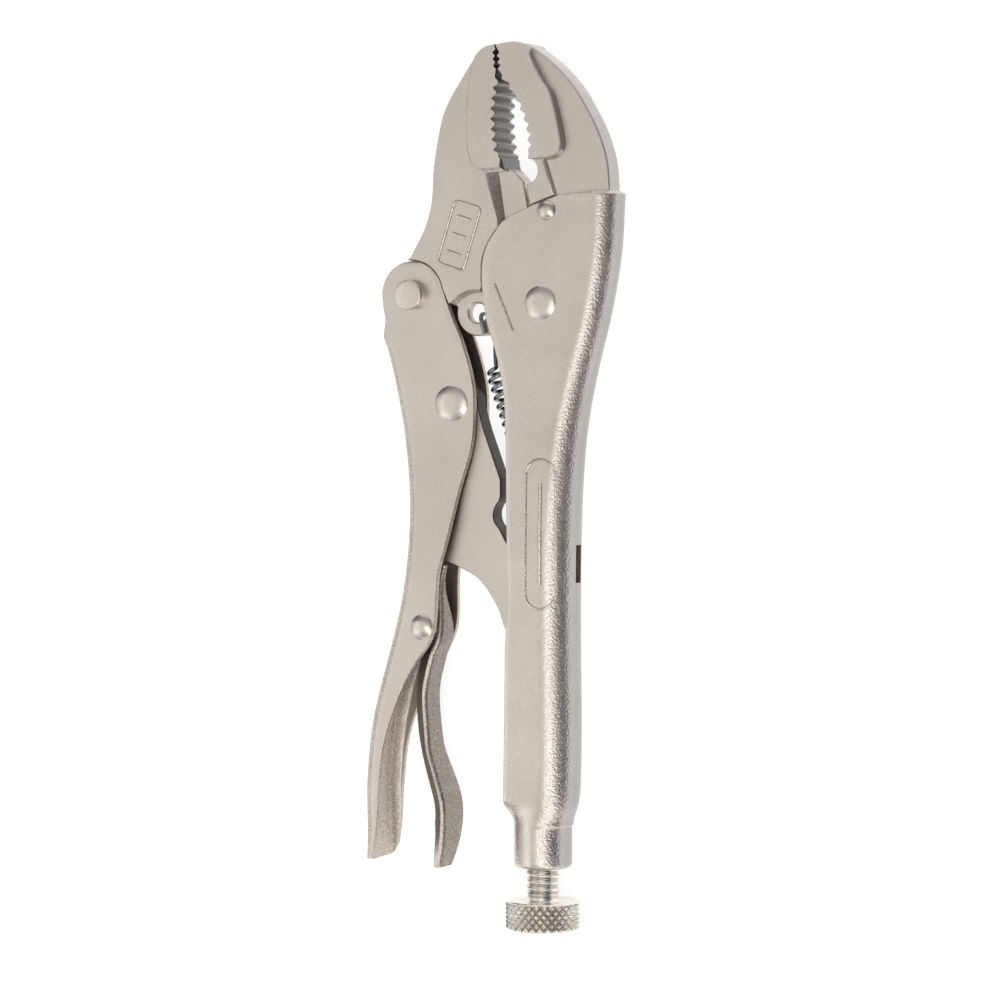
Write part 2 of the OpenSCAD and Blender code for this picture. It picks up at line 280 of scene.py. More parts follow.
def rounded(half, r, steps=3):
    """The profile of a plate with both its edges rounded"""
    turns = [math.pi / 2 * i / steps for i in range(steps + 1)]
    side = [(r * (1 - math.sin(a)), 0, -half + r * (1 - math.cos(a))) for a in turns]
    return side + [(a, b, -z) for a, b, z in reversed(side)]


def turned(name, profile, steps, centre, along="z"):
    """A solid of revolution: profile holds radius and height, from end to end"""
    loops = []
    for r, h in profile:
        loop = []
        for i in range(steps):
            a = 2 * math.pi * i / steps
            p = (r * math.cos(a), r * math.sin(a), h)
            if along == "y":
                p = (p[0], h, -p[1])
            loop.append(tuple(c + q for c, q in zip(centre, p)))
        loops.append(loop)
    return loft(name, loops)


def swept(name, path, r, sides=10, closed=False):
    """A round wire along a path, with its frame carried along"""
    pts = [Vector(p) for p in path]
    n = len(pts)
    ways = []
    for i in range(n):
        before, after = (i - 1, (i + 1) % n) if closed else (max(i - 1, 0), min(i + 1, n - 1))
        ways.append((pts[after] - pts[before]).normalized())
    side = ways[0].cross(Vector((0, 0, 1))) if abs(ways[0].z) < 0.9 else ways[0].orthogonal()
    side.normalize()
    loops = []
    for p, w in zip(pts, ways):
        side = (side - w * side.dot(w)).normalized()
        other = w.cross(side)
        loops.append([tuple(p + r * (math.cos(a) * side + math.sin(a) * other))
                      for a in (2 * math.pi * k / sides for k in range(sides))])
    return loft(name, loops, capped=not closed)


def rounded_path(corners, r, steps=4):
    """A closed path through corners, with each of them rounded"""
    out = []
    for i, corner in enumerate(corners):
        c = np.array(corner, float)
        a, b = (np.array(corners[k % len(corners)], float) for k in (i - 1, i + 1))
        a, b = (c + (q - c) / np.linalg.norm(q - c) * min(r, np.linalg.norm(q - c) / 2) for q in (a, b))
        for t in (k / steps for k in range(steps + 1)):
            out.append(tuple((1 - t) ** 2 * a + 2 * t * (1 - t) * c + t * t * b))
    return out


def done(obj, body, node, material):
    """Says what a finished piece rides on, replaces and is made of. body is a tuple for a blended piece,
    which is only baked in place: nothing reads the rest of the tuple
    """
    if isinstance(body, tuple):
        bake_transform(obj)
    else:
        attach(obj, body)
    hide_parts(node)
    obj.data.materials.clear()
    obj.data.materials.append(material)


# ---------------------------------------------------------------- materials
GRAIN_SIZE, GRAIN_DEPTH, FLAT_MOTTLE = 0.14, 0.02, 0.055


def metal(name, colour, roughness, grain, peel, peel_size=0.42, peel_depth=0.05, tint=0.05,
          mottle=FLAT_MOTTLE, rough_bends=0.0, painted_shade=(), painted_shade_above=None, painted_inner_shade=None, grooves=(),
          shadow=None):
    """Satin plated steel: fine blasted grain, a coarser orange peel, and slow changes of tint and gloss.
    mottle is the speckle away from the flat sides, and rough_bends adds to the roughness there.
    painted_shade lists an axis, the parts of a face's normal along it where the painted shade starts and is
    full, and the share of each colour that is left; it stands in for shade and dim reflections on those
    faces. painted_shade_above is the place along the tool from which it counts.
    painted_inner_shade is the share left by painted shade on the inner faces of a channel's walls, and the
    two places along it between which the painted shade comes in.
    grooves lists ranges along the screw's axis, each with the radii between which the painted shade in them
    clears, and the share it leaves.
    shadow is a line by its direction and two distances, and the share left at the first of them"""
    mat = bpy.data.materials.new(name)
    mat.use_nodes = True
    nodes, links = mat.node_tree.nodes, mat.node_tree.links
    shader = nodes["Principled BSDF"]
    shader.inputs["Metallic"].default_value = 1
    coord = nodes.new("ShaderNodeTexCoord")

    def noise(size, detail, rough=0.5):
        node = nodes.new("ShaderNodeTexNoise")
        node.inputs["Scale"].default_value = 1 / (size * MM)
        node.inputs["Detail"].default_value = detail
        node.inputs["Roughness"].default_value = rough
        links.new(coord.outputs["Object"], node.inputs["Vector"])
        return node.outputs["Fac"]

    def ranged(value, a, b, c, d):
        node = nodes.new("ShaderNodeMapRange")
        for key, number in zip(("From Min", "From Max", "To Min", "To Max"), (a, b, c, d)):
            node.inputs[key].default_value = number
        links.new(value, node.inputs["Value"])
        return node.outputs["Result"]

    def times(a, b):
        node = nodes.new("ShaderNodeMath")
        node.operation = "MULTIPLY"
        links.new(a, node.inputs[0])
        links.new(b, node.inputs[1])
        return node.outputs[0]

    # Slow changes of tint
    ramp = nodes.new("ShaderNodeValToRGB")
    ramp.color_ramp.elements[0].position, ramp.color_ramp.elements[1].position = 0.3, 0.7
    cool = (min(1, c * (1 + tint * k)) for c, k in zip(colour, (0.6, 0.8, 1)))
    ramp.color_ramp.elements[0].color = (*(c * (1 - tint) for c in colour), 1)
    ramp.color_ramp.elements[1].color = (*cool, 1)
    links.new(noise(14, 3, 0.55), ramp.inputs[0])

    # Speckle, weaker on the flat sides
    speck = nodes.new("ShaderNodeMix")
    speck.data_type = "RGBA"
    speck.blend_type = "MULTIPLY"
    speck.inputs["Factor"].default_value = 1
    links.new(ramp.outputs[0], speck.inputs["A"])
    shade = nodes.new("ShaderNodeCombineColor")
    facing = nodes.new("ShaderNodeSeparateXYZ")
    links.new(coord.outputs["Normal"], facing.inputs[0])
    upright = nodes.new("ShaderNodeMath")
    upright.operation = "ABSOLUTE"
    links.new(facing.outputs["Z"], upright.inputs[0])
    off_flat = ranged(upright.outputs[0], 0.9, 0.995, 1, FLAT_MOTTLE / mottle)
    tone = ranged(times(ranged(noise(0.4, 2, 0.6), 0.3, 0.7, -mottle, mottle), off_flat), -1, 1, 0, 2)

    # Painted shade in the screw's grooves, a painted shadow beside a line, and painted shade inside a
    # channel's walls
    place = nodes.new("ShaderNodeSeparateXYZ")
    links.new(coord.outputs["Object"], place.inputs[0])
    # Painted shade, deepest at the bottom of the screw's grooves and gone at their tops
    for start, end, deep, high, left in grooves:
        across = nodes.new("ShaderNodeVectorMath")
        across.operation = "DISTANCE"
        spot = nodes.new("ShaderNodeCombineXYZ")
        links.new(place.outputs["X"], spot.inputs["X"])
        links.new(place.outputs["Z"], spot.inputs["Z"])
        links.new(spot.outputs[0], across.inputs[0])
        axis = at(AXIS_X, 0, 0)
        across.inputs[1].default_value = (axis.x, 0, axis.z)
        groove_shade = ranged(across.outputs["Value"], deep * MM, high * MM, 1 - left, 0)
        for limit, way in ((start, 0.15), (end, -0.15)):
            limit = ORIGIN.y + limit * MM
            groove_shade = times(groove_shade, ranged(place.outputs["Y"], limit, limit + way * MM, 0, 1))
        tone = times(tone, ranged(groove_shade, 0, 1, 1, 0))
    if shadow:
        aside = nodes.new("ShaderNodeVectorMath")
        aside.operation = "DOT_PRODUCT"
        aside.inputs[1].default_value = (*shadow[0], 0)
        links.new(coord.outputs["Object"], aside.inputs[0])
        origin = Vector((*shadow[0], 0)).dot(ORIGIN)
        near_line = ranged(aside.outputs["Value"], origin + shadow[1] * MM, origin + shadow[2] * MM, 1, 0)
        tone = times(tone, ranged(times(near_line, near_line), 0, 1, 1, shadow[3]))
    # Painted shade on the inner faces of a channel's walls, coming in along the tool
    if painted_inner_shade:
        height = ranged(place.outputs["Z"], ORIGIN.z - 10 * MM, ORIGIN.z + 10 * MM, -10, 10)
        walls = ranged(times(height, facing.outputs["Z"]), -2.4, -0.8, 1 - painted_inner_shade[0], 0)
        along = ranged(place.outputs["Y"], ORIGIN.y + painted_inner_shade[1] * MM, ORIGIN.y + painted_inner_shade[2] * MM, 0, 1)
        tone = times(tone, ranged(times(walls, along), 0, 1, 1, 0))

    # Painted shade and painted dim reflections, by the way a face points
    ways = {axis: facing.outputs[axis] for axis in ("X", "Y", "Z")}
    if painted_shade_above is not None:
        limit = ORIGIN.y + painted_shade_above * MM
        above = ranged(place.outputs["Y"], limit, limit + 0.5 * MM, 0, 1)
        ways = {axis: times(way, above) for axis, way in ways.items()}
    for k, key in enumerate(("Red", "Green", "Blue")):
        channel = tone
        for axis, start, end, left in painted_shade:
            channel = times(channel, ranged(ways[axis], start, end, 1, left[k]))
        links.new(channel, shade.inputs[key])
    links.new(shade.outputs[0], speck.inputs["B"])
    links.new(speck.outputs["Result"], shader.inputs["Base Color"])

    # Slow changes of gloss
    rough = nodes.new("ShaderNodeMath")
    rough.operation = "ADD"
    links.new(ranged(noise(3.5, 3, 0.6), 0.3, 0.7, roughness - 0.04, roughness + 0.05), rough.inputs[0])
    links.new(ranged(off_flat, 0, 1, 0, rough_bends), rough.inputs[1])
    links.new(rough.outputs[0], shader.inputs["Roughness"])

    # Orange peel and blasted grain, both weaker on the flat sides
    coarse = nodes.new("ShaderNodeBump")
    coarse.inputs["Strength"].default_value = peel
    coarse.inputs["Distance"].default_value = peel_depth * MM
    less = ranged(upright.outputs[0], 0.95, 0.999, 1, 0.12)
    links.new(times(noise(peel_size, 1.5, 0.5), less), coarse.inputs["Height"])
    fine = nodes.new("ShaderNodeBump")
    fine.inputs["Strength"].default_value = grain
    fine.inputs["Distance"].default_value = GRAIN_DEPTH * MM
    less = ranged(upright.outputs[0], 0.9, 0.995, 1, 0.5)
    links.new(times(noise(GRAIN_SIZE, 2, 0.6), less), fine.inputs["Height"])
    links.new(coarse.outputs[0], fine.inputs["Normal"])
    links.new(fine.outputs[0], shader.inputs["Normal"])
    return mat


WARM = (0.64, 0.575, 0.515)
# Painted shade on the faces of the teeth that point towards the other jaw
INWARD_PAINTED_SHADE = ("X", 0.3, 0.85, (0.30, 0.33, 0.36))
# Colour, roughness, strength of the grain and strength of the orange peel come first
# Painted shade on the faces of the fixed jaw that point away from the other jaw
forged = metal("nickel_forged", WARM, 0.34, 0.35, 0.8, peel_size=0.5,
               painted_shade=[("X", 0.6, 0.95, (0.74, 0.78, 0.83))])
toothed = metal("nickel_toothed", WARM, 0.34, 0.35, 0.8, peel_size=0.5, peel_depth=0.09, painted_shade=[INWARD_PAINTED_SHADE],
                mottle=0.25, painted_shade_above=62.8)
# Painted shade on the fixed handle's back, for a dimmer reflection
pressed = metal("nickel_pressed", WARM, 0.28, 0.3, 1.0, peel_size=0.45, peel_depth=0.105,
                painted_shade=[("X", 0.7, 0.98, (0.66, 0.70, 0.75))])
# Painted shade, faint on faces that point to the right and strong on the inner faces of the channel's walls
gripped = metal("nickel_gripped", WARM, 0.32, 0.5, 1.0, peel_size=0.5, peel_depth=0.1,
                painted_shade=[("X", 0.5, 0.95, (0.97, 0.95, 0.93))], painted_inner_shade=(0.7, -46, -32), mottle=0.34,
                rough_bends=0.2)
# Painted shade on the release lever's faces that point to either side
trigger = metal("nickel_trigger", WARM, 0.34, 0.8, 1.0, peel_size=0.5, peel_depth=0.11,
                painted_shade=[("X", 0.5, 0.95, (0.52, 0.51, 0.49)), ("X", -0.2, -0.42, (0.5, 0.48, 0.46))],
                mottle=0.45, rough_bends=0.1)
# Painted shade on the link's edges, and a painted shadow beside the lever's edge
inner = metal("nickel_link", WARM, 0.38, 0.3, 0.5,
              painted_shade=[("X", 0.3, 0.8, (0.1, 0.1, 0.1)), ("X", -0.3, -0.8, (0.3, 0.3, 0.3))],
              shadow=((0.9675, -0.253), -8.6, -3.6, 0.5))
# Painted shade in the screw's thread and knurl grooves
bright = metal("nickel_bright", (0.86, 0.815, 0.74), 0.25, 0.2, 0.2, tint=0.1,
               grooves=[(-87.5, -81.95, 6.65, 7.2, 0.55), (-81.3, -33, 2.9, 3.42, 0.62)])
headed = metal("nickel_rivet", (0.66, 0.60, 0.54), 0.26, 0.2, 0.7, peel_size=0.8)
wire = metal("spring_steel", (0.30, 0.30, 0.31), 0.22, 0.15, 0.1, tint=0.1)

# ---------------------------------------------------------------- fixed handle
HANDLE_BACK = spline([(26.6, 60.5), (26.6, 59), (26.4, 56), (26, 48.5), (25, 41.6), (23.4, 33.8),
                      (21.2, 25.5), (19.5, 18), (18.2, 10), (17.4, 0), (17, -12), (16.9, -30), (17.1, -46),
                      (16.9, -58), (16.6, -61.5)])
HANDLE_EDGE = spline([(14.2, 58.3), (8.4, 56.3), (3, 54), (0.8, 51.7), (-1.3, 48.6), (-2.3, 44.8),
                      (-2.2, 39.5), (-1.2, 33.5), (0.6, 27.9), (2.5, 19.8), (3.2, 10), (3.7, -10),
                      (4, -22), (3.4, -30), (3.1, -50), (2.9, -61.5)])
NUT_R, NUT_END, THREAD_R = 5.8, -75.2, 3.5
HANDLE_TOP, HANDLE_SHEET, TAPER_START, TAPER_END = 59.1, 1.8, -61, -66.4
SHOULDER, BORE_GAP = 0.35, 0.06


def handle_half(y):
    """Half of the fixed handle's width, which is least at the jaws"""
    return mix(5.9, 4.6, ease(-16, 36, y))


WALL_STEPS = BEND_STEPS = 12


def half_ring(open_x, back, half, r, edge, lean):
    """Half of a section across a channel: its open side, its wall, its bend and the middle of its back"""
    way = 1 if open_x > back else -1
    edge = min(edge, 0.35 * abs(open_x - back), 0.4 * (half - lean))
    r = min(r, half, abs(open_x - back) - edge - 0.03)
    out = [(open_x, 0), (open_x, (half - lean - edge) / 2), (open_x, half - lean - edge),
           (open_x - way * 0.3 * edge, half - lean - 0.3 * edge)]
    start, end = open_x - way * edge, back + way * r
    out += [(mix(start, end, i / WALL_STEPS), half - lean * (1 - i / WALL_STEPS)) for i in range(WALL_STEPS)]
    turns = (math.pi / 2 * i / BEND_STEPS for i in range(BEND_STEPS + 1))
    out += [(end - way * r * math.sin(a), half - r + r * math.cos(a)) for a in turns]
    return out + [(back, 0)]


def channel_loop(y, open_x, back, near, far, r, edge=0.0, lean=0.0):
    """A section across a channel, with its own half width on each side. edge rounds the sheet's rim,
    and lean brings the walls in towards it"""
    upper = half_ring(open_x, back, near, r, edge, lean)
    lower = half_ring(open_x, back, far, r, edge, lean)
    return [(x, y, z) for x, z in upper] + [(x, y, -z) for x, z in lower[-2:0:-1]]


def tube_loop(y, r, swell=0.0):
    """The same number of points round the screw's axis, with a swelling towards the handle's back"""
    wall = WALL_STEPS + 4
    turns = [180 - 90 * i / wall for i in range(wall)]
    turns += [90 - 90 * i / BEND_STEPS for i in range(BEND_STEPS + 1)] + [0]
    turns += [-a for a in turns[-2:0:-1]]
    around = [(r + swell * max(math.cos(math.radians(a)), 0), math.radians(a)) for a in turns]
    return [(AXIS_X + q * math.cos(a), y, q * math.sin(a)) for q, a in around]


def handle_section(y):
    """A channel that turns into a tube towards the nut"""
    shy = ease(HANDLE_TOP - 0.6, HANDLE_TOP, y)
    half = handle_half(y)
    edge, back = x_at([(21, HANDLE_TOP)] + HANDLE_EDGE, y), x_at(HANDLE_BACK, y)
    flat = channel_loop(y, edge, back - 0.9 * shy, half - 0.3 * shy, half - 0.3 * shy, half, 0.4)
    t = ease(TAPER_START, TAPER_END, y) ** 1.2
    if t == 0:
        return flat
    return [between(a, b, t) for a, b in zip(flat, tube_loop(y, NUT_R, SHOULDER))]


def handle_surface(x, y):
    """Height of the handle's near face"""
    half, back = handle_half(y), x_at(HANDLE_BACK, y)
    return half if x < back - half else math.sqrt(max(half ** 2 - (x - back + half) ** 2, 0))


ys = [HANDLE_TOP, 59.0, 58.85, 58.7, 58.5]
ys += spaced(58.2, 20, 40) + spaced(19, -58, 60) + spaced(-58.5, TAPER_END, 24)
rows = [handle_section(y) for y in ys]
rows += [tube_loop(y, NUT_R, swell) for y, swell in ((-66.6, 0.28), (-66.8, 0.1), (-67, 0))]
nut_end = [(-70, NUT_R), (-74.1, NUT_R), (-74.7, 5.68), (-75.05, 5.4), (NUT_END, 5.0)]
rows += [tube_loop(y, r) for y, r in nut_end]
handle = loft("fixed_handle_shell", rows)
hollow = []
for y in spaced(66, 20, 40) + spaced(19, -60, 60):
    half = handle_half(min(y, 60)) - HANDLE_SHEET
    hollow.append(channel_loop(y, -25, x_at(HANDLE_BACK, y) - HANDLE_SHEET, half, half, half))
cut(handle, loft("t", hollow))
bore = [(THREAD_R + BORE_GAP, -80), (THREAD_R + BORE_GAP, -58)]
cut(handle, turned("t", bore, 40, (AXIS_X, 0, 0), "y"))
spring_slot = ((-18.2, -1.2), (-10.7, -1.2), (-10.7, 1.2), (-18.2, 1.2))
cut(handle, side_prism("t", spring_slot, 12, 20))


def add_mark(path, depth, r, closed=False):
    """Joins a round ridge to the handle's near face, with its middle line a little below the face"""
    cut(handle, swept("t", [(x, y, handle_surface(x, y) - depth) for x, y in path], r, 8, closed), "UNION")


# A plain capsule and two plain bars stand where the photographed tool has its marks
MARK_X, MARK_TOP, MARK_END, MARK_R = 11.0, 3.2, -20.2, 3.1
LONG_BAR, SHORT_BAR = ((MARK_X, 1.5), (MARK_X, -18.5)), ((0.6, 41), (4.6, 31.6))
capsule = arc((MARK_X, MARK_TOP), MARK_R, 0, 180) + arc((MARK_X, MARK_END), MARK_R, 180, 360)
capsule = [between(a, b, t) for a, b in zip(capsule, capsule[1:] + capsule[:1])
           for t in (0, 0.25, 0.5, 0.75)]
add_mark(capsule, 0.03, 0.3, True)
add_mark([between(*LONG_BAR, t) for t in spaced(0, 1, 20)], 0.1, 0.45)
add_mark([between(*SHORT_BAR, t) for t in spaced(0, 1, 8)], 0.12, 0.38)
smooth(handle)
done(handle, "fixed_side", "fixed_handle", pressed)

# ---------------------------------------------------------------- movable handle
LEVER_BACK = spline([(-24.3, 35), (-24.3, 32), (-24.6, 29.6), (-22.6, 21.5), (-20.7, 12), (-19.4, 1.8),
                     (-19, -6), (-19.3, -14.2), (-20.3, -22.3), (-22.2, -30.4), (-25, -40),
                     (-27, -48.7), (-28, -58.9), (-28, -66), (-27.6, -74.6)])
LEVER_EDGE = spline([(-11, 39.6), (-9.3, 34.9), (-7.1, 29.9), (-5, 23.2), (-4.3, 17.6),
                     (-4.8, 9), (-7.4, 0), (-9.8, -10), (-11.6, -17), (-12, -26), (-13.2, -30.6),
                     (-16.5, -35.2), (-19.8, -41.4), (-23.2, -50.6), (-24.5, -60), (-25, -68),
                     (-25.9, -74.8)])
LEVER_PIVOT, EAR_R, LEVER_SHEET = (-18, 39), 6.8, 1.4


def lever_half(y):
    """Half of the movable handle's width, which is least at its ears"""
    return mix(6.1, 3.9, ease(-32, 14, y))


TAIL, EARS_FROM = -74.9, 31.6
EAR_RIGHT = arc(LEVER_PIVOT, EAR_R, 12, 89, 30)
EAR_LEFT = arc(LEVER_PIVOT, EAR_R, 192, 91, 30)
SHOULDER_LEFT = spline([(-24.6, 37.2), (-24.45, 35.8), (-24.1, 34.6), (-24.1, 33.4), (-24.35, 32.2)])
lever_right = EAR_RIGHT[::-1] + LEVER_EDGE
lever_left = EAR_LEFT[::-1] + SHOULDER_LEFT + [p for p in LEVER_BACK if p[1] < 32]
top = LEVER_PIVOT[1] + EAR_R * math.sin(math.radians(88))
ys = [top, top - 0.04, top - 0.1, top - 0.2, top - 0.35] + spaced(top - 0.6, 39, 14)
ys += spaced(38.5, 31.9, 14) + [EARS_FROM] + spaced(31, 25, 12) + spaced(24, TAIL, 100)
rows = []
for y in ys:
    half = lever_half(y) - 0.35 * ease(top - 0.5, top, y)
    rows.append(channel_loop(y, x_at(lever_right, y), x_at(lever_left, y), half, half,
                             mix(2.5, 0.35, ease(27, 32.5, y)), 0.35))
lever = loft("movable_handle_shell", rows)
rows = []
for y in [y for y in ys if y <= EARS_FROM] + [-80]:
    half = lever_half(y) - LEVER_SHEET
    rows.append(channel_loop(y, 12, x_at(lever_left, y) + LEVER_SHEET, half, half, 2.2))
cut(lever, loft("t", rows))
gap = lever_half(40) - LEVER_SHEET
below_ears = EARS_FROM - 0.01
cut(lever, side_prism("t", [(below_ears, -gap), (60, -gap), (60, gap), (below_ears, gap)], -40, 10))
# Seen from its open side, the tail's far corner is round
side = ([(60, 9), (60, -9), (-70.7, -9)] + arc((-70.7, -1.9), 4.2, 270, 180, 10)
        + [(TAIL, 5.5), (TAIL + 0.2, 5.95), (TAIL + 0.6, 6.1), (TAIL + 0.6, 9)])
cut(lever, side_prism("t", side), "INTERSECT")
smooth(lever)
done(lever, "movable_handle", "movable_handle", gripped)

# ---------------------------------------------------------------- jaws
TIP = 88.4


def movable_crest(y):
    return 0.8 + 0.016 * (y - 74) ** 2


def fixed_crest(y):
    return 7.9 - 0.031 * (y - 68) ** 2


TEETH, PITCH, DEPTH, FIRST, FIXED_SHIFT = 8, 2.05, 1.0, 66.5, 0.8
FINE_TEETH, FINE, FINE_FROM = 3, 1.3, 83.5


def coarse_teeth(crest, first, depth):
    """Blunt teeth along a crest, each with the bottom of its gap; depth is towards the jaw's body"""
    out, way = [], math.copysign(1, depth)
    for i in range(TEETH):
        y = first + i * PITCH
        out += [(crest(y) + way * 0.2, y - 0.34), (crest(y) + way * 0.03, y - 0.12),
                (crest(y) + way * 0.03, y + 0.12), (crest(y) + way * 0.2, y + 0.34),
                (crest(y + PITCH / 2) + depth, y + PITCH / 2)]
    return out


def fine_teeth(x, depth):
    """Sharp teeth at the jaw's tip"""
    out = []
    for i in range(FINE_TEETH):
        out += [(x - 0.1 * i, FINE_FROM + i * FINE), (x - 0.1 * i + depth, FINE_FROM + (i + 0.5) * FINE)]
    return out


MOVABLE_BACK = spline([(-1.2, 88.1), (-2.8, 87.2), (-4.3, 85.4), (-7.2, 81.2), (-9.5, 77.6),
                       (-11.3, 73.4), (-12.9, 65), (-13.3, 59), (-13.8, 55.9), (-15.2, 51.8),
                       (-18.2, 46.6)])
MOVABLE_FRONT = ([(7.9, 50), (6.8, 56.4), (5.9, 61.3), (3.6, 63.6), (1.9, 64), (1.9, 65.8)]
                 + coarse_teeth(movable_crest, FIRST, -DEPTH) + fine_teeth(1, -0.6)
                 + [(0.9, 87.4), (0.6, TIP)])
PAD_EDGE = spline([(-4.1, 85.4), (-5.1, 79.5), (-5.6, 73.6), (-5.3, 68.6), (-4.7, 66), (-3.6, 64.4),
                   (-1.8, 63.8), (1.9, 64)])
EYE, HUB_R = (-4.1, 35.3), 8.4

lug = arc(LEVER_PIVOT, 5.6, 120, 328, 22) + [(-11.6, 36.9), (-10.2, 37.1), (-9.2, 37)]
hub = arc(JAW_PIVOT, HUB_R, 230, 400, 24)
web = MOVABLE_FRONT + MOVABLE_BACK + lug + arc(EYE, 4.6, 166, 290, 18) + hub


def snug(points):
    """Edges between teeth are rounded less, for the teeth are small"""
    return [0.4 if p[1] > 65 and -1.5 < p[0] < 10 else 1 for p in points]


jaw = plate("movable_jaw_forging", web, rounded(2.4, 0.35), tight=snug(web))
hub_side = [(HUB_R - 0.3, -2.43), (HUB_R, -2.1), (HUB_R, 2.1), (HUB_R - 0.3, 2.43)]
cut(jaw, turned("t", hub_side, 64, (*JAW_PIVOT, 0)), "UNION")

# The raised body: a wide slope towards the cutter, steep edges towards the handle, the eye and the lever
slope = [(-2, 63.4), (-1.8, 62.8), (-1.2, 60.4), (-0.3, 57.6), (0.9, 53.9)]
by_handle = [(1.05, 52.3), (0.05, 51), (-0.75, 49.9), (-1.6, 48.4), (-2.3, 46.5), (-2.55, 44.8), (-2.6, 42),
             (-2.5, 40.5)]
by_eye = [(-2.9, 39.85), (-3.9, 39.95), (-4.9, 39.9), (-5.8, 39.7), (-6.7, 39.35), (-7.5, 38.9), (-8.3, 38.3),
          (-9.2, 37.4)]
by_lever = [(-9.75, 37.3), (-10.35, 38.7)] + arc(LEVER_PIVOT, EAR_R + 0.25, 10, 96, 16)
back_part = [p for p in MOVABLE_BACK if p[1] > 47.4]
body_outline = slope + by_handle + by_eye + by_lever + [(-17.9, 46.9)] + back_part[::-1]
soft = ([2.6, 2.5, 2.3, 1.8, 1.1] + [0.4] * len(by_handle) + [0.7] * len(by_eye) + [0.15] * len(by_lever)
        + [0] * (1 + len(back_part)))
near = [(0, 1, 2.3), (0, 0.8, 2.7), (0, 0.55, 3.2), (0, 0.28, 3.75), (0, 0.1, 4.06), (0.12, 0, 4.2)]
add_plate(jaw, body_outline, near, soft, margin=0.03)

pad_back = [p for p in MOVABLE_BACK if p[1] > 85.6]
pad_front = [p for p in MOVABLE_FRONT if p[1] > 65]
pad_outline = pad_back + PAD_EDGE + pad_front
by_edge = [min(max(x - x_at(MOVABLE_BACK, y) - 0.1, 0), mix(0.8, 0.35, ease(65, 70, y)))
           for x, y in PAD_EDGE]
soft = [0] * len(pad_back) + by_edge + [0] * len(pad_front)
near = [(0, 0.8, 4.05), (0, 0.42, 4.22), (0.03, 0.14, 4.45), (0.1, 0, 4.6), (0.26, 0, 4.7)]
add_plate(jaw, pad_outline, near, soft, snug(pad_outline))
eye_side = [(3.3, -9), (3.3, -2.4), (1.9, 0.9), (1.9, 2.0), (2.3, 2.4), (2.3, 9)]
cut(jaw, turned("t", eye_side, 40, (*EYE, 0)))

# A plain frame with plain bars stands where the photographed jaw has its mark
badge = [(-8.2, 57.8), (-2.5, 56.1), (-6.5, 43.6), (-12.2, 45.5)]
cut(jaw, swept("t", [(x, y, 4.2) for x, y in rounded_path(badge, 1.1)], 0.3, 8, True), "UNION")
for t in (0.22, 0.5, 0.78):
    a, b = between(badge[0], badge[3], t), between(badge[1], badge[2], t)
    bar = [(*between(a, b, u), 4.16) for u in (0.25, 0.5, 0.75)]
    cut(jaw, swept("t", bar, 0.36, 8), "UNION")
smooth(jaw)
done(jaw, "movable_jaw", "movable_jaw", toothed)

FIXED_BACK = spline([(4.4, 88.8), (6.4, 88.5), (8.6, 87.5), (11.7, 85.3), (14.5, 82.8), (17.4, 79.5),
                     (19.9, 75.5), (21.8, 72), (23.3, 68.3), (24.3, 64.6), (24.7, 60)])
CUTTER_HOLLOW = arc((6.7, 63.3), 2.7, -68, 62, 10)
FIXED_FRONT = ([(8.6, 50), (7.7, 56), (7.1, 60.6)] + CUTTER_HOLLOW
               + coarse_teeth(fixed_crest, FIRST + FIXED_SHIFT, DEPTH * 0.8) + fine_teeth(1.3, 0.6)
               + [(1.1, 87.6), (0.8, TIP)])
FIXED_PAD = spline([(7.5, 87.6), (8.3, 85.2), (10.8, 81), (12.3, 78.8), (13.3, 76.2),
                    (14.6, 70.8), (14.9, 68.2), (14.2, 66.6), (12.4, 65.8), (9, 65.6)])
outline = FIXED_FRONT + FIXED_BACK + [(24.6, 56), (24.1, 50), (22.8, 44)]
outline += arc(JAW_PIVOT, HUB_R + 0.4, 30, 98, 16)
fixed = plate("fixed_jaw_forging", outline, rounded(2.7, 0.6, 5), tight=snug(outline))
cutter_front = [(7.75, 56.6), (7.1, 60.6)] + CUTTER_HOLLOW
cutter = cutter_front + [(9.6, 65.9), (10.35, 65.7), (11.6, 62), (12.75, 58.5)]
near = [(0, 0.8, 2.6), (0, 0.55, 2.8), (0, 0.2, 3.15), (0.1, 0, 3.3), (0.3, 0, 3.35)]
add_plate(fixed, cutter, near, [0] * (len(cutter_front) + 1) + [1] * 3, margin=0)
top = [p for p in FIXED_BACK if p[0] < 7.5]
front = [p for p in FIXED_FRONT if p[1] > 65.6]
pad_outline = top[::-1] + front[::-1] + FIXED_PAD[::-1]
soft = [0] * (len(top) + len(front)) + [1] * len(FIXED_PAD)
near = [(0, 0.5, 2.5), (0, 0.28, 2.75), (0, 0.15, 3.1), (0, 0.06, 3.9), (0.05, 0, 4.4), (0.16, 0, 4.62),
        (0.32, 0, 4.7)]
add_plate(fixed, pad_outline, near, soft, snug(pad_outline))
smooth(fixed)
done(fixed, "fixed_side", "fixed_jaw", forged)

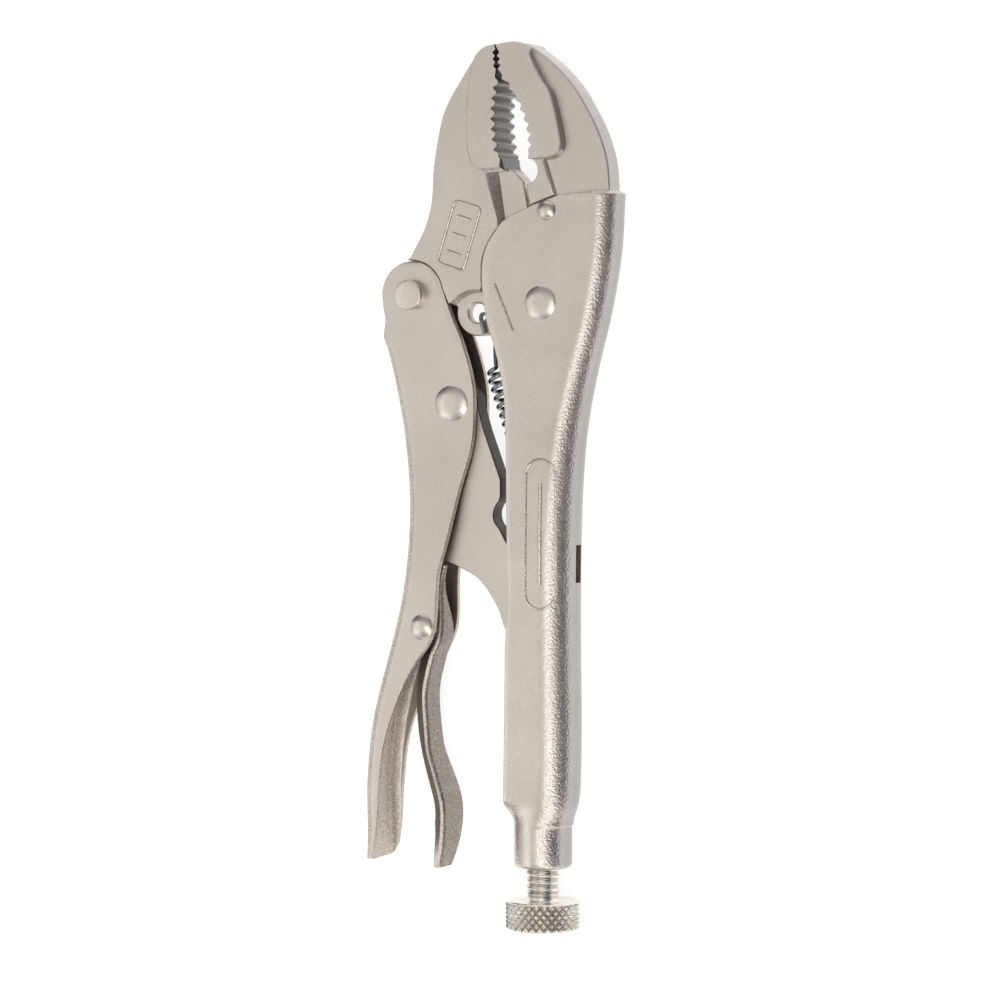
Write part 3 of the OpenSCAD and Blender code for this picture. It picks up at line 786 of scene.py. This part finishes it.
# ---------------------------------------------------------------- toggle link
LINK_PIVOT, TOE = (-9.2, 17.2), (9.2, -28.4)
LINK_UPPER = ([(-2.9, 12), (0.1, 4), (0.8, 2), (0.8, -1.2)] + arc((2.6, -4.9), 3.4, 130, 232, 8)
              + spline([(1.9, -10.1), (5.2, -14.2), (9.6, -21), (11.6, -26.6)]))
LINK_LOWER = spline([(7.3, -30.3), (2.2, -28.2), (0.1, -23.3), (-3.6, -18.2), (-7.6, -15.9), (-11.8, -14.3)])
outline = (LINK_UPPER + arc(TOE, 2.6, 20, -120, 12) + LINK_LOWER[1:] + [(-12.6, -4), (-13.4, 14.6)]
           + arc(LINK_PIVOT, 5, 195, -8, 20))
link = plate("toggle_link_plate", outline, rounded(2.2, 0.3))
smooth(link)
done(link, "toggle_link", "toggle_link", inner)

# ---------------------------------------------------------------- release lever
RELEASE_BACK = spline([(-10.4, -15.4), (-11.5, -20.5), (-11.7, -27.7), (-12.1, -30.8), (-13.8, -34),
                       (-15.4, -39), (-15.6, -44), (-14.6, -51.2), (-12.6, -56.6), (-10.7, -62.3),
                       (-10.3, -66.3), (-10.6, -71.5), (-11.4, -76)])
RELEASE_EDGE = spline([(-13.2, -17), (-15.2, -21), (-17.2, -25.6), (-17.5, -29.4), (-17.6, -34),
                       (-18.4, -42), (-18, -49), (-16.5, -55.5), (-14, -63), (-13, -68),
                       (-12.8, -72), (-12.8, -75.9)])
RELEASE_SHEET, END = 1.3, -76


def release_far(y):
    """Half width on the lever's far side, whose tail ends in a round corner"""
    if y < -65:
        return mix(4.6, 1.5, max(0, (-65 - y) / 11) ** 1.7)
    return mix(release_near(y), 4.6, ease(-55, -65, y))


def release_near(y):
    """Half width on the near side: a narrow tongue inside the handle, and a wide tail"""
    if y < -46:
        return mix(3.5, 4.9, ease(-46, -66, y))
    return mix(3.5, 0.7, ease(-33, -15.4, y))


def release_lean(y):
    """How far the walls come in towards the sheet's rim"""
    return min(1.7 * ease(-76, -62, y), 0.45 * release_near(y))


ys = [-15.4, -15.5] + spaced(-15.8, END + 0.3, 90) + [END + 0.1, END]
rows, rows_in = [], []
for y in ys:
    back = x_at(RELEASE_BACK, y) - 1.6 * ease(-29, -15.4, y) + 0.6 * ease(-30, -38, y) * ease(-56, -46, y)
    shy = 0.25 * ease(END + 0.35, END, y)
    near, far, lean = release_near(y), release_far(y), release_lean(y)
    rows.append(channel_loop(y, x_at(RELEASE_EDGE, y), back, near - shy, far - shy, 0.9, 0.25, lean))
    near, far = (max(half - RELEASE_SHEET, 0.2) for half in (near, far))
    rows_in.append(channel_loop(y, -40, back - RELEASE_SHEET, near, far, 1.0, 0, min(lean, 0.1)))
release = loft("release_lever_shell", rows)
above = [(x, y + 0.5, z) for x, y, z in rows_in[0]]
below = [(x, y - 0.5, z) for x, y, z in rows_in[-1]]
rows_in = [above] + rows_in + [below]
cut(release, loft("t", rows_in))
smooth(release)
done(release, "release_lever", "release_lever", trigger)


# ---------------------------------------------------------------- rivets
def head(r, h, base, flat=0.0, steep=2.2):
    """Half of a rivet's side, from its rim up to its crown"""
    rim = [(r - 0.03, base - 0.3), (r, base + 0.06)]
    for i in range(1, 10):
        t = 1 - i / 10
        rim.append((flat + (r - flat) * t, base + 0.1 + (h - 0.1) * (1 - t ** steep)))
    return rim + [(max(flat * 0.5, 0.06), base + h)]


def rivet(name, node, centre, half, pin, shape, body):
    upper = [(pin, 0)] + [(pin, half - 0.3)] + shape
    profile = [(r, -h) for r, h in upper[:0:-1]] + upper
    obj = turned(name, profile, 56, (*centre, 0))
    smooth(obj, 50)
    done(obj, body, node, headed)


rivet("main_rivet", "jaw_pivot_rivet", JAW_PIVOT, 4.6, 2.5, head(3.35, 0.55, 4.6, 1.2), "fixed_side")
barrel = [(2.95, 3.6), (3.0, 4.0), (3.0, 5.5), (2.95, 5.7), (2.83, 5.83), (2.7, 5.88), (2.5, 5.9), (1.2, 5.9),
          (0.06, 5.9)]
rivet("jaw_lever_pin", "jaw_lever_rivet", LEVER_PIVOT, 3.9, 2.3, barrel, "movable_handle")
rivet("toggle_rivet", "link_rivet", LINK_PIVOT, 3.9, 2.4, head(3.6, 0.6, 3.9, 1.2), "movable_handle")
rivet("trigger_rivet", "release_rivet", (-14.9, -27.6), 6.1, 1.5, head(2.5, 0.75, 6.1, 0.3), "movable_handle")
rivet("stake_pin", "jaw_stake_pin", (11.9, 55.4), 4.6, 1.5, head(2.0, 0.8, 4.6, 0.2), "fixed_side")

# ---------------------------------------------------------------- adjusting screw
KNOB_TOP, KNOB_H, KNOB_R, THREAD_TOP = -81.8, 5.8, 7.5, -33.4
LEAD, THREAD_DEPTH, KNOB_EDGE, KEY, KEY_DEPTH = 1.38, 0.62, 0.55, 5, 4.5


def thread_radius(y, a):
    """Radius of the helical thread at a place along the screw and an angle round it"""
    phase = ((y - THREAD_TOP) / LEAD + a / (2 * math.pi)) % 1.0
    ridge = min(1, max(0, 1.2 - abs(phase - 0.5) * 2.6))
    return THREAD_R - THREAD_DEPTH * (1 - ridge)


loops = []
n_turn = 40
for y in spaced(KNOB_TOP - 0.5, KNOB_TOP + 0.6, 3) + spaced(KNOB_TOP + 0.7, THREAD_TOP, 430):
    full = ease(KNOB_TOP + 0.7, KNOB_TOP + 1.9, y)
    taper = 0.9 * ease(THREAD_TOP - 1.1, THREAD_TOP, y)
    loop = []
    for i in range(n_turn):
        a = 2 * math.pi * i / n_turn
        r = mix(THREAD_R - 0.45, thread_radius(y, a), full) - taper
        loop.append((AXIS_X + r * math.cos(a), y, -r * math.sin(a)))
    loops.append(loop)
shank = loft("t", loops)
smooth(shank, 60)

loops = []
n_knurl = 28
n_turn = n_knurl * 10
slant = 0.95 * n_knurl / (2 * math.pi * KNOB_R)
for h in spaced(0, KNOB_H, 60):
    y = KNOB_TOP - h
    edge = min(h, KNOB_H - h)
    base = KNOB_R - KNOB_EDGE * (1 - min(1, edge / 0.6)) ** 1.5
    bite = 0.85 * ease(0.1, 0.7, edge)
    loop = []
    for i in range(n_turn):
        a = i / n_turn
        u = (a * n_knurl + h * slant) % 1.0
        v = (a * n_knurl - h * slant) % 1.0
        ridge = min(1 - abs(2 * u - 1), 1 - abs(2 * v - 1))
        r = base - bite * (1 - min(1, ridge * 1.25)) ** 1.15
        loop.append((AXIS_X + r * math.cos(2 * math.pi * a), y, -r * math.sin(2 * math.pi * a)))
    loops.append(loop)
inner_r = KNOB_R - KNOB_EDGE - 0.9
turns = [2 * math.pi * i / n_turn for i in range(n_turn)]
rim = [(AXIS_X + inner_r * math.cos(a), KNOB_TOP, -inner_r * math.sin(a)) for a in turns]
knob = loft("t", [rim] + loops)
socket = KEY / 2 / math.cos(math.pi / 6)
hexagon = [(socket * math.cos(math.pi / 3 * i), socket * math.sin(math.pi / 3 * i)) for i in range(6)]
knob_end = KNOB_TOP - KNOB_H
socket_ends = (knob_end - 1, knob_end + KEY_DEPTH)
cut(knob, loft("t", [[(AXIS_X + x, y, z) for x, z in hexagon] for y in socket_ends]))
smooth(knob, 30)
cut(shank, knob, "UNION")
shank.name = "adjusting_screw_turned"
done(shank, "adjusting_screw", "adjusting_screw", bright)

# ---------------------------------------------------------------- spring
COIL_TOP, COIL_END = Vector((-1.2, 24.4, 0)), Vector((9.6, -6.4, 0))
COIL_R, WIRE_R, TURNS, PER_TURN = 1.95, 0.43, 18, 20
way = (COIL_END - COIL_TOP).normalized()
across = way.orthogonal().normalized()
third = way.cross(across)
coil = []
for i in range(TURNS * PER_TURN + 1):
    a = 2 * math.pi * i / PER_TURN + math.pi
    r = COIL_R * ease(-4, 10, i)
    centre = COIL_TOP + (COIL_END - COIL_TOP) * (i / (TURNS * PER_TURN))
    coil.append(centre + r * (math.cos(a) * across + math.sin(a) * third))
eye_hook = [(-2.3, 31.2, 3.1), (-3.0, 34.0, 3.05), (-3.4, 35.0, 1.8), (-3.4, 35.1, 0), (-3.2, 34.6, -2.2),
            (-2.9, 33.2, -3.0), (-2.4, 30.5, -2.6), (-1.9, 27.9, -1.2)]
slot_hook = [(11.2, -9.4, 0.2), (12.6, -11.4, 0), (14.2, -12.6, 0), (15.9, -13.2, 0)]
path = spline(eye_hook + [tuple(coil[0] - way * 0.3)], 6)[:-1] + coil
path += spline([tuple(coil[-1] + way * 0.5)] + slot_hook, 6)
spring = swept("spring_wire", path, WIRE_R)
smooth(spring, 60)
eye_end, slot_end = at(-3.4, 33.5), at(9.6, -6.4)
done(spring, ("movable_jaw", "fixed_side", tuple(eye_end), tuple(slot_end)), "spring", wire)

# ---------------------------------------------------------------- floor
bm = bmesh.new()
bmesh.ops.create_grid(bm, x_segments=1, y_segments=1, size=3)
floor = make("floor", bm)
FLOOR_GAP = 0.0002
floor.location = (0, 0, min(cad_box[0][2], cad_box[1][2]) - FLOOR_GAP)
pale = bpy.data.materials.new("pale_floor")
pale.use_nodes = True
shader = pale.node_tree.nodes["Principled BSDF"]
shader.inputs["Base Color"].default_value = (0.5, 0.5, 0.5, 1)
shader.inputs["Roughness"].default_value = 0.9
shader.inputs["Emission Color"].default_value = (1, 1, 1, 1)
shader.inputs["Emission Strength"].default_value = 0.75
floor.data.materials.append(pale)
